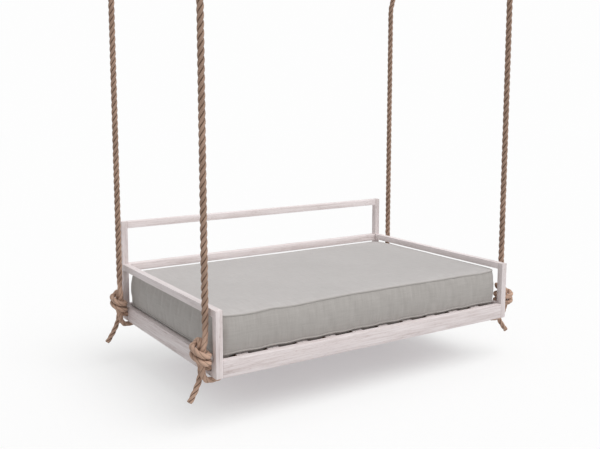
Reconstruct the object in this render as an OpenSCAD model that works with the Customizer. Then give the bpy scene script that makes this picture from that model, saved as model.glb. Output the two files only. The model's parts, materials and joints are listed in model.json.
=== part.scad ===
// Hanging swing bed: a low timber day bed that hangs by a rope at each corner from four ceiling hangers.
// The origin is in the ceiling plane, midway between the four hangers. +X is to the right of somebody who
// looks at the open front, +Y goes to the back rest and +Z is up. All sizes are in millimetres.

/* [Bed frame] */
// Width of the bed over its posts
bed_w = 1990; // [1700:10:2200]
// Depth of the bed over its posts
bed_d = 1286; // [1180:2:1400]
// Side of the square timber that the posts and arms are cut from
post = 38; // [36:1:42]
// Height of the seat rails
rail_h = 88; // [84:1:100]
// Height of the arms and the front posts over the underside of the seat rails
arm_h = 340; // [330:5:420]
// Height of the back posts over the underside of the seat rails
back_h = 601; // [520:1:720]
// Height of the timber of the top back rail
top_rail_h = 42; // [40:1:60]
// Height of the timber of the lower back rail
low_rail_h = 47; // [45:1:60]
// How much of each long edge is planed off
ease = 1.5; // [1:0.5:3]

/* [Slats] */
// Number of slats, which run from front to back
slat_count = 10; // [6:1:10]
// Width of a slat
slat_w = 66; // [50:1:80]
// Thickness of a slat
slat_t = 20; // [18:1:22]
// Distance from one slat to the next, middle to middle
slat_pitch = 178; // [120:1:178]
// Gap between the left seat rail and the first slat
slat_gap = 97; // [60:1:100]

/* [Mattress] */
// Length of the mattress at its piping
mattress_l = 1900; // [1500:1:1904]
// Width of the mattress at its piping, from front to back
mattress_w = 1184; // [1000:1:1190]
// Thickness of the mattress at its edges
mattress_t = 205; // [150:1:208]
// How far the top is crowned over the edges
crown = 8; // [4:1:20]
// How far the sides swell past the piping
swell = 17; // [6:1:17]
// How much more the two ends swell than the long sides
end_swell = 1.3; // [1:0.1:1.4]

/* [Ropes] */
// Diameter of the rope
rope_d = 36; // [34:1:37]
// Distance from the side of the frame out to the middle of a front rope
rope_out = 23; // [23:1:30]
// How much further out the back ropes hang than the front ropes
back_spread = 18; // [0:1:22]
// Distance from the front of the frame back to the front ropes
front_setback = 67; // [66:1:120]
// Distance from the back of the frame forward to the back ropes
back_setback = 89; // [70:1:150]
// Height of the ceiling over the underside of the seat rails
drop = 2400; // [2350:10:3000]

/* [Hangers] */
// Diameter of the bolt that a hanger swings on, and of the pin under it
bolt_d = 12; // [10:1:14]
// Distance between the screw holes of a hanger plate, left to right
plate_hole_x = 76; // [70:1:90]
// Distance between the screw holes of a hanger plate, front to back
plate_hole_y = 46; // [40:1:60]
// Diameter of the screw holes of a hanger plate
plate_hole_d = 9; // [6:0.5:10]

/* [Hidden] */
$fn = 48;
CORNERS = ["front_left", "front_right", "back_left", "back_right"];
// The side of the bed that each corner is on: -1 is left and 1 is right, -1 is front and 1 is back
SIDE_X = [-1, 1, -1, 1];
SIDE_Y = [-1, -1, 1, 1];

// Where the ropes hang
hang_x = bed_w / 2 + rope_out;
hang_y = (bed_d - front_setback - back_setback) / 2;
bed_at = [-bed_w / 2, -hang_y - front_setback, -drop];

// Hanger plate, from the ceiling down
plate_l = plate_hole_x + 28;
plate_w = plate_hole_y + 28;
plate_t = 6;
ear_t = 6;
ear_r = 19;
bolt_z = 46;
eye_l = 20;
eye_r = 16;
bolt_gap = 0.1;

// Link, from the bolt down to the pin, and the grooved thimble that turns on the pin
link_l = 114;
fork_gap = 42;
cheek_t = 8;
cheek_w = 26;
bridge_top = 34;
bridge_t = 12;
thimble_r = 46;
thimble_w = 40;
groove_gap = 1.2;
pin_z = bolt_z + link_l;

// Rope: the eye round the thimble, in [inboard, below the pin], down to where it hangs straight
EYE_LEG = [[19, 190], [19, 165], [19, 140], [19.5, 118], [24, 96], [33, 66], [42, 34]];
EYE_THROAT = [[-42, 34], [-33, 66], [-24, 96], [-19.5, 118], [-19, 140], [-19, 178]];
EYE_BACK = [[-17, 207], [-10, 232], [-3, 258], [0, 300]];
seizing_top = 138;
seizing_h = 34;
seizing_t = 3;
leg_x = 19;
straight_top = drop - pin_z - 300;
ring_step = 80;

// The rope bends over the back posts when the bed sways, and there its tube is in two with a small gap
flex_h = 615;
flex_gap = 1.2;

// Knot: [back, outboard, up] from the middle of the rope and the underside of the rail
bore_h = 44;
bore_d = 37;
knot_r = 15.1;
KNOT_IN = [[-3, 2, 208], [-12, 9, 183], [-17, 18, 157], [-18.5, 25.5, 130], [-18.5, 27, 100], [-18.5, 27, 75],
        [-17, 26, 52]];
LOOP = [[-12, 23, 26], [-7, 13, 2], [-3, -3, -15], [0, -22, -19], [0, -42, -19], [0, -62, -18], [0, -73, -13],
        [0, -79, -3], [0, -80, 12], [0, -78, 27], [0, -71, 39], [0, -60, 44], [0, -42, 44], [0, -24, 44]];
RISER = [[4, -8, 45.5], [11, 6, 52], [17, 19, 62], [18, 27, 80], [18, 27, 105], [18, 27, 128],
         [17, 25, 148], [18, 21, 163], [27, 16, 175], [39, 15, 179], [49, 21, 173]];
TAIL = [[52, 16, 76], [50, 9, 56], [45, 7, 32], [39, 11, 4], [33, 24, -30], [26, 48, -74], [18, 80, -118]];
wrap_step = 30;
wrap_first = 70;
wrap_last = -590;
wrap_top = 147;
wrap_pitch = 35;
wrap_tilt = 10;
wrap_half = 19.5;
wrap_r = 32.7;
wrap_mid = 26.7;

// Timber joints and screws
dowel_d = 10;
dowel_l = 60;
ledger_t = 70;
ledger_h = 25;
ledger_end = 90;
beam_t = 38;
beam_h = 56;
screw_d = 4;
screw_head_d = 8.5;
slat_screw_l = 40;
ledger_screw_l = 90;
ledger_screw_gap = 350;

slat_top = rail_h;
ledger_top = slat_top - slat_t;
inner_w = bed_w - 2 * post;
inner_d = bed_d - 2 * post;
slat_l = inner_d - 2;
mattress_at = [bed_w / 2, bed_d / 2 - 2, slat_top];

// ---- Curves and tubes ----

function unit(v) = v / norm(v);

// A smooth curve through the points, with n steps from each one to the next
function smooth(p, n) = [
    for (i = [0 : len(p) - 2], k = [0 : n - 1])
        let (t = k / n, a = p[max(i - 1, 0)], b = p[i], c = p[i + 1], d = p[min(i + 2, len(p) - 1)])
            (2 * b + (c - a) * t + (2 * a - 5 * b + 4 * c - d) * t * t
                + (3 * b - a - 3 * c + d) * t * t * t) / 2,
    p[len(p) - 1]
];

function tangent(p, i) = unit(p[min(i + 1, len(p) - 1)] - p[max(i - 1, 0)]);

// The normal of the last ring, carried on to the next one without twist
function carried(n, t) = unit(n - (n * t) * t);

function normals(p) = [
    for (i = 0, n = carried([0.3, 0.8, 0.2], tangent(p, 0)); i < len(p);
        i = i + 1, n = carried(n, tangent(p, min(i, len(p) - 1)))) n
];

// The length of a line of points from its start up to each point
function along(p) = [for (i = 0, s = 0; i < len(p);
    i = i + 1, s = s + norm(p[min(i, len(p) - 1)] - p[i - 1])) s];

function length(p) = along(p)[len(p) - 1];

// The least distance between two stretches of a line that are further apart along it than the skip
function finer(p, n) = [for (i = [0 : len(p) - 2], k = [0 : n - 1]) p[i] + (p[i + 1] - p[i]) * k / n];

function least(p, skip) = let (s = along(p))
    min([for (i = [0 : len(p) - 2], j = [i + 1 : len(p) - 1]) if (s[j] - s[i] > skip) norm(p[i] - p[j])]);

// A round tube round the points: rings of flat sides, closed by a cap at each end
module tube(p, r, sides) {
    n = normals(p);
    rings = [for (i = [0 : len(p) - 1], k = [0 : sides - 1])
        let (t = tangent(p, i), a = 360 * k / sides) p[i] + r * (cos(a) * n[i] + sin(a) * cross(t, n[i]))];
    last = (len(p) - 1) * sides;
    walls = [for (i = [0 : len(p) - 2], k = [0 : sides - 1])
        let (a = i * sides + k, b = i * sides + (k + 1) % sides)
            each [[a, b + sides, b], [a, a + sides, b + sides]]];
    caps = [for (k = [1 : sides - 2]) each [[0, k, k + 1], [last, last + k + 1, last + k]]];
    polyhedron(points = rings, faces = concat(walls, caps), convexity = 10);
}

// ---- The rope at a corner ----

// The place at corner c of a point that is given as [back, outboard, up]
function at_corner(c, p) = [SIDE_X[c] * (hang_x + p[1]), SIDE_Y[c] * hang_y + p[0], p[2] - drop];

// How much further out the straight run hangs at corner c
function spread(c) = SIDE_Y[c] < 0 ? 0 : back_spread;

// From [inboard, below the pin] in the plane of the eye
function in_eye(p) = [0, -p[0], drop - pin_z - p[1]];

function rope_line() = concat(
    smooth([for (p = EYE_LEG) in_eye(p)], 2),
    [for (a = [-10 : 20 : 190]) in_eye([thimble_r * cos(a), -thimble_r * sin(a)])],
    smooth([for (p = EYE_THROAT) in_eye(p)], 2),
    [for (p = EYE_BACK) in_eye(p)],
    [for (up = [straight_top - ring_step : -ring_step : flex_h + ring_step / 2]) [0, 0, up]],
    [[0, 0, flex_h + flex_gap]]
);

// One point on the wraps, at an angle round the two ropes that they hold; 0 is outboard and 90 is back
function wrap(a) = let (s = sin(a)) [
    wrap_half * s / sqrt(s * s + 0.06) + wrap_r * s,
    wrap_mid + wrap_r * cos(a),
    wrap_top - wrap_pitch * (wrap_first - a) / 360 + wrap_tilt * cos(a - 60)
];

function knot_line(c) = concat(
    [for (up = [flex_h - flex_gap, 540, 460, 380, 310, 245]) [0, spread(c), up]],
    [for (p = KNOT_IN) [p[0], p[2] > 150 ? max(p[1], spread(c)) : p[1], p[2]]],
    LOOP,
    smooth(concat(RISER, [for (a = [wrap_first : -wrap_step : wrap_last]) wrap(a)],
        [for (i = [0 : len(TAIL) - 1]) TAIL[i] + [0, spread(c) * i / (len(TAIL) - 1), 0]]), 2)
);

// ---- Hangers ----

module at_hanger(c) translate([SIDE_X[c] * (hang_x + spread(c)), SIDE_Y[c] * hang_y, 0]) children();

module along_x(l, d) rotate([0, 90, 0]) cylinder(h = l, d = d, center = true);

module along_y(l, d) rotate([90, 0, 0]) cylinder(h = l, d = d, center = true);

module hanger_plate(c) color([0.16, 0.16, 0.17]) at_hanger(c) difference() {
    union() {
        translate([-plate_l / 2, -plate_w / 2, -plate_t]) cube([plate_l, plate_w, plate_t]);
        for (s = [-1, 1]) translate([s * (eye_l / 2 + 1 + ear_t / 2), 0, 0]) {
            translate([-ear_t / 2, -ear_r, -bolt_z]) cube([ear_t, 2 * ear_r, bolt_z - plate_t / 2]);
            translate([0, 0, -bolt_z]) along_x(ear_t, 2 * ear_r);
        }
    }
    for (x = [-1, 1], y = [-1, 1])
        translate([x * plate_hole_x / 2, y * plate_hole_y / 2, -plate_t - 1])
            cylinder(h = plate_t + 2, d = plate_hole_d);
    translate([0, 0, -bolt_z]) along_x(60, bolt_d);
}

// The bolt's head and nut bear on the outer sides of the ears
ear_out = eye_l / 2 + 1 + ear_t;
head_h = 8;
head_af = 19;
nut_h = 11;

module hanger_bolts() color([0.45, 0.45, 0.46]) for (c = [0 : 3]) at_hanger(c) translate([0, 0, -bolt_z]) {
    translate([-ear_out, 0, 0]) rotate([0, 90, 0]) cylinder(h = 2 * ear_out + nut_h + 3, d = bolt_d);
    translate([-ear_out - head_h, 0, 0]) rotate([0, 90, 0]) cylinder(h = head_h, d = head_af / cos(30), $fn = 6);
}

module hanger_nuts() color([0.45, 0.45, 0.46]) for (c = [0 : 3]) at_hanger(c)
    translate([ear_out, 0, -bolt_z]) rotate([0, 90, 0]) difference() {
        cylinder(h = nut_h, d = head_af / cos(30), $fn = 6);
        translate([0, 0, -1]) cylinder(h = nut_h + 2, d = bolt_d);
    }

module link(c) color([0.2, 0.2, 0.21]) at_hanger(c) translate([0, 0, -bolt_z]) difference() {
    union() {
        along_x(eye_l, 2 * eye_r);
        translate([-eye_l / 2, -eye_l / 2, -bridge_top - bridge_t / 2]) cube([eye_l, eye_l, bridge_top]);
        translate([-cheek_w / 2, -fork_gap / 2 - cheek_t, -bridge_top - bridge_t])
            cube([cheek_w, fork_gap + 2 * cheek_t, bridge_t]);
        for (s = [-1, 1]) translate([0, s * (fork_gap + cheek_t) / 2, 0]) {
            translate([-cheek_w / 2, -cheek_t / 2, -link_l])
                cube([cheek_w, cheek_t, link_l - bridge_top - bridge_t / 2]);
            translate([0, 0, -link_l]) along_y(cheek_t, cheek_w);
        }
    }
    along_x(60, bolt_d + 2 * bolt_gap);
    translate([0, 0, -link_l]) along_y(80, bolt_d);
}

pin_head_h = 5;
pin_half = fork_gap / 2 + cheek_t;

module link_pin(c) color([0.45, 0.45, 0.46]) at_hanger(c) translate([0, 0, -pin_z]) {
    along_y(2 * pin_half, bolt_d);
    for (s = [-1, 1]) translate([0, s * (pin_half + pin_head_h / 2), 0]) along_y(pin_head_h, bolt_d + 8);
}

module thimble(c) color([0.62, 0.62, 0.63]) at_hanger(c) translate([0, 0, -pin_z]) rotate([90, 0, 0])
    difference() {
        cylinder(h = thimble_w, r = thimble_r, center = true);
        cylinder(h = thimble_w + 2, d = bolt_d + 2 * bolt_gap, center = true);
        rotate_extrude() translate([thimble_r, 0]) circle(d = rope_d + 2 * groove_gap);
    }

// The outline that goes round the two legs of the eye, side by side
module around_legs(r) {
    for (s = [-1, 1]) translate([s * leg_x, 0]) circle(r = r);
    translate([-leg_x, -r]) square([2 * leg_x, 2 * r]);
}

module seizing(c) color([0.30, 0.24, 0.19]) at_hanger(c)
    translate([0, 0, -pin_z - seizing_top - seizing_h]) linear_extrude(seizing_h) difference() {
        around_legs(rope_d / 2 + 0.5 + seizing_t);
        around_legs(rope_d / 2 + 0.5);
    }

module rope(c) color([0.56, 0.46, 0.38])
    tube([for (p = rope_line()) at_corner(c, p + [0, spread(c), 0])], rope_d / 2, 8);

module knot(c) color([0.56, 0.46, 0.38]) tube([for (p = knot_line(c)) at_corner(c, p)], knot_r, 6);

// ---- Timber ----

// Dowels, each as [x, y, z, axis] at the middle of its length; axis 0 runs along X and 1 along Y
DOWELS = concat(
    [for (y = [post / 2, bed_d - post / 2], x = [post, bed_w - post], z = [28, 60]) [x, y, z, 0]],
    [for (x = [post / 2, bed_w - post / 2], y = [post, bed_d - post], z = [12, 76]) [x, y, z, 1]],
    [for (x = [post / 2, bed_w - post / 2], y = [post, bed_d - post]) [x, y, arm_h - 9, 1]],
    [for (x = [post, bed_w - post], z = [arm_h - 37, arm_h - 24]) [x, bed_d - post / 2, z, 0]],
    [for (x = [post, bed_w - post], z = [back_h - 32, back_h - 12]) [x, bed_d - post / 2, z, 0]],
    [for (x = [post, bed_w - post], z = [24, 50]) [x, bed_d / 2, z, 0]]
);

function near(lo, size) = [for (d = DOWELS)
    if (d[0] > lo[0] - dowel_l / 2 && d[0] < lo[0] + size[0] + dowel_l / 2
        && d[1] > lo[1] - dowel_l / 2 && d[1] < lo[1] + size[1] + dowel_l / 2
        && d[2] > lo[2] && d[2] < lo[2] + size[2]) d];

module draw_dowels(list) for (d = list) translate([d[0], d[1], d[2]])
    if (d[3] == 0) along_x(dowel_l, dowel_d); else along_y(dowel_l, dowel_d);

module eased(w, h) polygon([[ease, 0], [w - ease, 0], [w, ease], [w, h - ease],
    [w - ease, h], [ease, h], [0, h - ease], [0, ease]]);

// A length of timber with its long edges eased, along X (0), Y (1) or Z (2)
module stick(size, axis) {
    if (axis == 0) rotate([90, 0, 90]) linear_extrude(size[0]) eased(size[1], size[2]);
    if (axis == 1) translate([0, size[1], 0]) rotate([90, 0, 0]) linear_extrude(size[1]) eased(size[0], size[2]);
    if (axis == 2) linear_extrude(size[2]) eased(size[0], size[1]);
}

module timber(lo, size, axis) color([0.84, 0.80, 0.785]) translate(bed_at) difference() {
    translate(lo) stick(size, axis);
    draw_dowels(near(lo, size));
    children();
}

module post_at(c) timber([SIDE_X[c] < 0 ? 0 : bed_w - post, SIDE_Y[c] < 0 ? 0 : bed_d - post, 0],
    [post, post, SIDE_Y[c] < 0 ? arm_h : back_h], 2);

module seat_rail_x(y) timber([post, y, 0], [inner_w, post, rail_h], 0) draw_ledger_screws();

module seat_rail_y(x) timber([x, post, 0], [post, inner_d, rail_h], 1)
    for (y = [front_setback, bed_d - back_setback]) translate([x + post / 2, y, bore_h]) along_x(post + 2, bore_d);

module arm(x) timber([x, post, arm_h - post], [post, inner_d, post], 1);

module back_rail(top, h) timber([post, bed_d - post, top - h], [inner_w, post, h], 0);

module ledger(y) timber([ledger_end, y, ledger_top - ledger_h], [bed_w - 2 * ledger_end, ledger_t, ledger_h], 0) {
    draw_slat_screws();
    draw_ledger_screws();
}

module centre_beam() timber([post, (bed_d - beam_t) / 2, ledger_top - beam_h], [inner_w, beam_t, beam_h], 0);

function slat_x(i) = post + slat_gap + (i - 1) * slat_pitch;

module slat(i) timber([slat_x(i), post + 1, ledger_top], [slat_w, slat_l, slat_t], 1) draw_slat_screws([i]);

module dowels() color([0.72, 0.58, 0.42]) translate(bed_at) draw_dowels(DOWELS);

// A countersunk screw that points down, with the top of its head at the origin
module screw(l) {
    translate([0, 0, -l]) cylinder(h = l, d = screw_d, $fn = 24);
    translate([0, 0, -3]) cylinder(h = 3, d1 = screw_d, d2 = screw_head_d, $fn = 24);
}

module draw_slat_screws(list = [1 : slat_count]) for (i = list, y = [post + 13, bed_d - post - 13])
    translate([slat_x(i) + slat_w / 2, y, slat_top]) screw(slat_screw_l);

module draw_ledger_screws() for (x = [slat_x(1) - 20 : ledger_screw_gap : bed_w - ledger_end - 10]) {
    translate([x, post + ledger_t, ledger_top - ledger_h / 2]) rotate([-90, 0, 0]) screw(ledger_screw_l);
    translate([x, bed_d - post - ledger_t, ledger_top - ledger_h / 2]) rotate([90, 0, 0]) screw(ledger_screw_l);
}

module slat_screws() color([0.7, 0.7, 0.72]) translate(bed_at) draw_slat_screws();

module ledger_screws() color([0.7, 0.7, 0.72]) translate(bed_at) draw_ledger_screws();

// ---- Mattress ----

corner_r = 45;
corner_steps = 5;
long_steps = 12;
short_steps = 8;

// One side of the outline: a rounded corner, and then the straight run up to the next corner
function outline_side(mid, r, a, end, steps) = let (start = mid + r * [cos(a + 90), sin(a + 90)]) concat(
    [for (k = [0 : corner_steps]) mid + r * [cos(a + 90 * k / corner_steps), sin(a + 90 * k / corner_steps)]],
    [for (k = [1 : steps - 1]) start + (end - start) * k / steps]);

// The outline of the mattress, set in from the piping by that much all round
function outline(inset) = let (
    r = max(corner_r - inset, 6),
    x = mattress_l / 2 - (inset < 0 ? end_swell : 1) * inset - r, y = mattress_w / 2 - inset - r,
    mids = [[x, y], [-x, y], [-x, -y], [x, -y]])
    [for (i = [0 : 3]) each outline_side(mids[i], r, 90 * i,
        mids[(i + 1) % 4] + r * [cos(90 * i + 90), sin(90 * i + 90)], i % 2 == 0 ? long_steps : short_steps)];

// The section from the middle of the underside round to the middle of the top, as [inset, height]
SECTION = [[420, 0], [150, 0], [22, 0.4], [5, 3], [-swell * 0.35, 10], [-swell * 0.7, 32], [-swell * 0.95, 70],
    [-swell, 105], [-swell * 0.9, 140], [-swell * 0.5, mattress_t - 25], [0, mattress_t], [6, mattress_t + 3],
    [30, mattress_t + crown * 0.55], [120, mattress_t + crown * 0.85], [420, mattress_t + crown]];

module mattress() color([0.72, 0.70, 0.68]) translate(bed_at) translate(mattress_at) {
    ring = len(outline(0));
    points = [for (s = SECTION) each [for (p = outline(s[0])) [p[0], p[1], s[1]]]];
    last = (len(SECTION) - 1) * ring;
    walls = [for (i = [0 : len(SECTION) - 2], k = [0 : ring - 1])
        let (a = i * ring + k, b = i * ring + (k + 1) % ring) each [[a, b + ring, b], [a, a + ring, b + ring]]];
    // The middle of the underside and of the top are flat, and each is a fan of faces round its own point
    low = len(points);
    middles = [[0, 0, 0], [0, 0, mattress_t + crown]];
    fans = [for (k = [0 : ring - 1]) let (n = (k + 1) % ring)
        each [[low, k, n], [low + 1, last + n, last + k]]];
    polyhedron(points = concat(points, middles), faces = concat(walls, fans), convexity = 4);
}

echo(rope_length = length(rope_line()), knot_lengths = [for (c = [0, 2]) length(knot_line(c))]);
echo(least_gaps_in_the_knots = [for (c = [0, 2]) least(finer(knot_line(c), 3), 45) - 2 * knot_r]);

for (c = [0 : 3]) {
    hanger_plate(c);
    link(c);
    link_pin(c);
    thimble(c);
    seizing(c);
    rope(c);
    knot(c);
    post_at(c);
}
hanger_bolts();
hanger_nuts();
seat_rail_x(0);  // seat_rail_front
seat_rail_x(bed_d - post);  // seat_rail_back
seat_rail_y(0);  // seat_rail_left
seat_rail_y(bed_w - post);  // seat_rail_right
arm(0);  // arm_left
arm(bed_w - post);  // arm_right
back_rail(back_h, top_rail_h);  // back_rail_top
back_rail(arm_h, low_rail_h);  // back_rail_lower
ledger(post);  // ledger_front
ledger(bed_d - post - ledger_t);  // ledger_back
centre_beam();
for (i = [1 : slat_count]) {
    slat(i);
}
mattress();
dowels();
slat_screws();
ledger_screws();
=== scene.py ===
"""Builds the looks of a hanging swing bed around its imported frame: ropes, timber, slats, mattress and hangers.

It runs as a script in Blender 4.5. Sizes are in metres, and places are in the frame's own axes: +X is to the
right of somebody who looks at the open front, +Y goes to the back rest, and the ceiling is at height 0.
"""

import json
import math

import bpy
import numpy as np
from bpy.props import FloatProperty, FloatVectorProperty, IntProperty, PointerProperty
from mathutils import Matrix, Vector, noise


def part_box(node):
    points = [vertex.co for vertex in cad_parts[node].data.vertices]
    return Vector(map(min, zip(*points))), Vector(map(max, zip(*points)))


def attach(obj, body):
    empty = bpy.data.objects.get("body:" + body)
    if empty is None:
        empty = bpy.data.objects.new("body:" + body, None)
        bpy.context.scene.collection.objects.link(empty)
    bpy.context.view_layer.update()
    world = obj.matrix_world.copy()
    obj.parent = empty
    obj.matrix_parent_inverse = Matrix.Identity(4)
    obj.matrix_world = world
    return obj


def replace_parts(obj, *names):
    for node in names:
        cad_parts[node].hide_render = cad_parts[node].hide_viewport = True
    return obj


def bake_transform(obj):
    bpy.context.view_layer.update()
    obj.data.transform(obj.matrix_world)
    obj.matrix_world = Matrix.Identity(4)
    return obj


bl_info = {
    "name": "Hanging Swing Bed",
    "version": (1, 0, 0),
    "blender": (4, 5, 0),
    "location": "3D View > Sidebar > Swing Bed",
    "description": "Dresses the frame of a hanging swing bed in timber, linen and rope",
    "category": "Object",
}

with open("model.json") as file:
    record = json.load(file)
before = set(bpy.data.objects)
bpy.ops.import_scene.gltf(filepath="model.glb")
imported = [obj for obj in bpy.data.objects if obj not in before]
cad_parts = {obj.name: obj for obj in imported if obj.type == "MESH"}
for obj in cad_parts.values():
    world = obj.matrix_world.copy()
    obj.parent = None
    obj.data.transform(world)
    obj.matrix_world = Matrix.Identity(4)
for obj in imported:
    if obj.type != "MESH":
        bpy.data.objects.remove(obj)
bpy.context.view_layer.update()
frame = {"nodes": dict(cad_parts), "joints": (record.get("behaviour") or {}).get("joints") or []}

# The corners, and the side of the bed that each is on: -1 is left or front, and 1 is right or back
CORNERS = {
    "front_left": (-1, -1),
    "front_right": (1, -1),
    "back_left": (-1, 1),
    "back_right": (1, 1),
}
JOINTS = {joint["name"]: joint for joint in frame["joints"]}
# Each rope's straight run hangs from its pin. A knot is as far out as the front pins, also at the back
PINS = {corner: Vector(JOINTS[f"{corner}_rope_sway"]["pos_m"]) for corner in CORNERS}
PIN_Z = PINS["front_right"].z
KNOT_X = PINS["front_right"].x
RAIL_LOW, RAIL_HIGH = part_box("seat_rail_left")
RAIL_INSIDE = RAIL_HIGH.x
UNDERSIDE = RAIL_LOW.z
BORE_Z = JOINTS["bed_level"]["pos_m"][2]
BORE_R = 0.0185
ALONG = {"x": 0, "y": 1, "z": 2}

# The photograph's camera: its frame is 600 x 449 pixels
CAMERA_AT = (-2.6091, -3.8642, -1.0503)
CAMERA_TURN = (82.769, 0.0, -32.921)
CAMERA_LENS = 46.570
CAMERA_SHIFT = -0.0479
SENSOR = 36.0
# What the camera sees of the floor and of the space round it
WHITE = (0.985, 0.985, 0.985)
SHADE = (0.990, 0.942, 0.968)
# What the floor throws back at the bed
BOUNCED = (0.78, 0.78, 0.78)
# The soft lamp: its height and its turn from the front to the right in degrees, its spread and its strength
LAMP_HEIGHT, LAMP_TURN, LAMP_SPREAD, LAMP_STRENGTH = 60, 30, 55, 2.03
EVEN_LIGHT = 0.44


def linear(*srgb):
    """A colour in linear light from its three values in the 0 to 255 that a screen shows."""
    return tuple((c / 255 / 12.92) if c <= 10 else ((c / 255 + 0.055) / 1.055) ** 2.4 for c in srgb)


def toned(colour, share):
    """The colour, lighter or darker by that share, and never over white."""
    return tuple(min(1.0, c * share) for c in colour)


def colour_setting(name, text, value):
    return FloatVectorProperty(name=name, description=text, default=value, min=0, max=1, size=3,
                               subtype="COLOR")


def length_setting(name, text, value, low, high):
    return FloatProperty(name=name, description=text, default=value, min=low, max=high, unit="LENGTH",
                         precision=4)


def strength_setting(name, text, value, high):
    return FloatProperty(name=name, description=text, default=value, min=0, max=high)


# ---- Settings ----


class SwingBedTimber(bpy.types.PropertyGroup):
    edge: length_setting("Edge", "How far the long edges are rounded", 0.0022, 0.0005, 0.006)
    wobble: length_setting("Wobble", "How far the hand-planed faces dip", 0.0005, 0.0, 0.002)
    wash: colour_setting("Wash", "White stain over the timber", linear(239, 231, 231))
    grain: colour_setting("Grain", "Grain that shows through the stain", linear(172, 150, 144))
    # Brown of the slats' sides and undersides: bare wood's colour, and also painted warm shade in the gaps
    # between slats
    bare: colour_setting("Bare wood", "Unstained sides of the slats", linear(128, 88, 62))
    bearer: colour_setting("Bearers", "Dull wood of the ledgers and the centre beam", linear(116, 80, 66))


class SwingBedRope(bpy.types.PropertyGroup):
    diameter: length_setting("Diameter", "Diameter of the rope where it hangs straight", 0.036, 0.01, 0.05)
    knot_diameter: length_setting("Knot diameter", "Diameter of the rope in its knot", 0.0302, 0.01, 0.05)
    lay: length_setting("Lay", "Length of one turn of a strand", 0.122, 0.05, 0.3)
    step: length_setting("Step", "Distance between the rings of the rope's mesh", 0.006, 0.002, 0.02)
    fibre: colour_setting("Fibre", "Fibre on the crowns of the strands", linear(175, 146, 128))
    # The grooves' darker colour is painted shade between the strands
    shade: colour_setting("Shade", "Fibre in the grooves between the strands", linear(96, 74, 59))
    twine: colour_setting("Twine", "Tarred twine round the rope's eye", linear(98, 78, 60))


class SwingBedMattress(bpy.types.PropertyGroup):
    length: length_setting("Length", "Length of the mattress at its piping", 1.900, 1.0, 2.2)
    width: length_setting("Width", "Width of the mattress at its piping", 1.184, 0.6, 1.6)
    thickness: length_setting("Thickness", "Distance between the two lines of piping", 0.193, 0.1, 0.3)
    corner: length_setting("Corner", "Radius of the upright corners", 0.052, 0.02, 0.12)
    piping: length_setting("Piping", "Diameter of the piping", 0.0085, 0.004, 0.02)
    linen: colour_setting("Linen", "Warm grey linen of the cover", linear(184, 180, 176))
    # The top's linen and threads are paler and less warm than the sides': painted light on the top of the same
    # cloth
    lit_top_linen: colour_setting("Lit top linen", "Linen on the top, paler and less warm", linear(207, 203, 201))
    thread: colour_setting("Thread", "Darker threads in the weave", linear(138, 133, 129))
    lit_top_thread: colour_setting("Lit top thread", "Darker threads of the top", linear(156, 151, 149))


class SwingBedHangers(bpy.types.PropertyGroup):
    edge: length_setting("Edge", "How far the edges of the steel are rounded", 0.0008, 0.0002, 0.003)
    black: colour_setting("Black", "Powder coat on the plates and links", linear(42, 42, 44))
    zinc: colour_setting("Zinc", "Plated bolts, nuts and screws", linear(178, 178, 180))
    galvanised: colour_setting("Galvanised", "Dull zinc of the thimbles", linear(160, 162, 164))
    wraps: IntProperty(name="Wraps", description="Turns of twine round an eye", default=9, min=4, max=16)


class SwingBedStage(bpy.types.PropertyGroup):
    floor_gap: length_setting("Floor gap", "Height of the bed's underside over the floor", 0.26, 0.15, 1.0)
    key: strength_setting("Key", "Strength of the soft lamp above", 1.0, 10)
    fill: strength_setting("Fill", "Strength of the even light all round", 1.0, 10)
    glow: strength_setting("Glow", "How far the shadow on the floor is washed out", 0.62, 1)


# ---- Shader maths ----


class Link:
    """A node's output, which adds Math nodes when it is used in an expression."""

    def __init__(self, tree, socket):
        self.tree = tree
        self.socket = socket

    def __add__(self, other):
        return self.tree.math("ADD", self, other)

    def __radd__(self, other):
        return self.tree.math("ADD", other, self)

    def __sub__(self, other):
        return self.tree.math("SUBTRACT", self, other)

    def __rsub__(self, other):
        return self.tree.math("SUBTRACT", other, self)

    def __mul__(self, other):
        return self.tree.math("MULTIPLY", self, other)

    def __rmul__(self, other):
        return self.tree.math("MULTIPLY", other, self)


class NodeTree:
    """The nodes of a material or of the world."""

    def __init__(self, owner):
        owner.use_nodes = True
        self.nodes = owner.node_tree.nodes
        self.links = owner.node_tree.links

    def node(self, kind, settings=None, inputs=None, output=0):
        """A new node of that kind, with its settings, and then the values or links of its sockets."""
        made = self.nodes.new("ShaderNode" + kind)
        for key, value in (settings or {}).items():
            if key == "stops":
                for element, (place, grey) in zip(made.color_ramp.elements, value):
                    element.position = place
                    element.color = (grey, grey, grey, 1)
            else:
                setattr(made, key, value)
        for key, value in (inputs or {}).items():
            self.feed(made.inputs[key], value)
        return Link(self, made.outputs[output])

    def feed(self, socket, value):
        if isinstance(value, Link):
            self.links.new(value.socket, socket)
        elif socket.type == "RGBA":
            socket.default_value = (*value, 1)
        else:
            socket.default_value = value

    def math(self, operation, a, b=0.0):
        return self.node("Math", {"operation": operation}, {0: a, 1: b})


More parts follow.
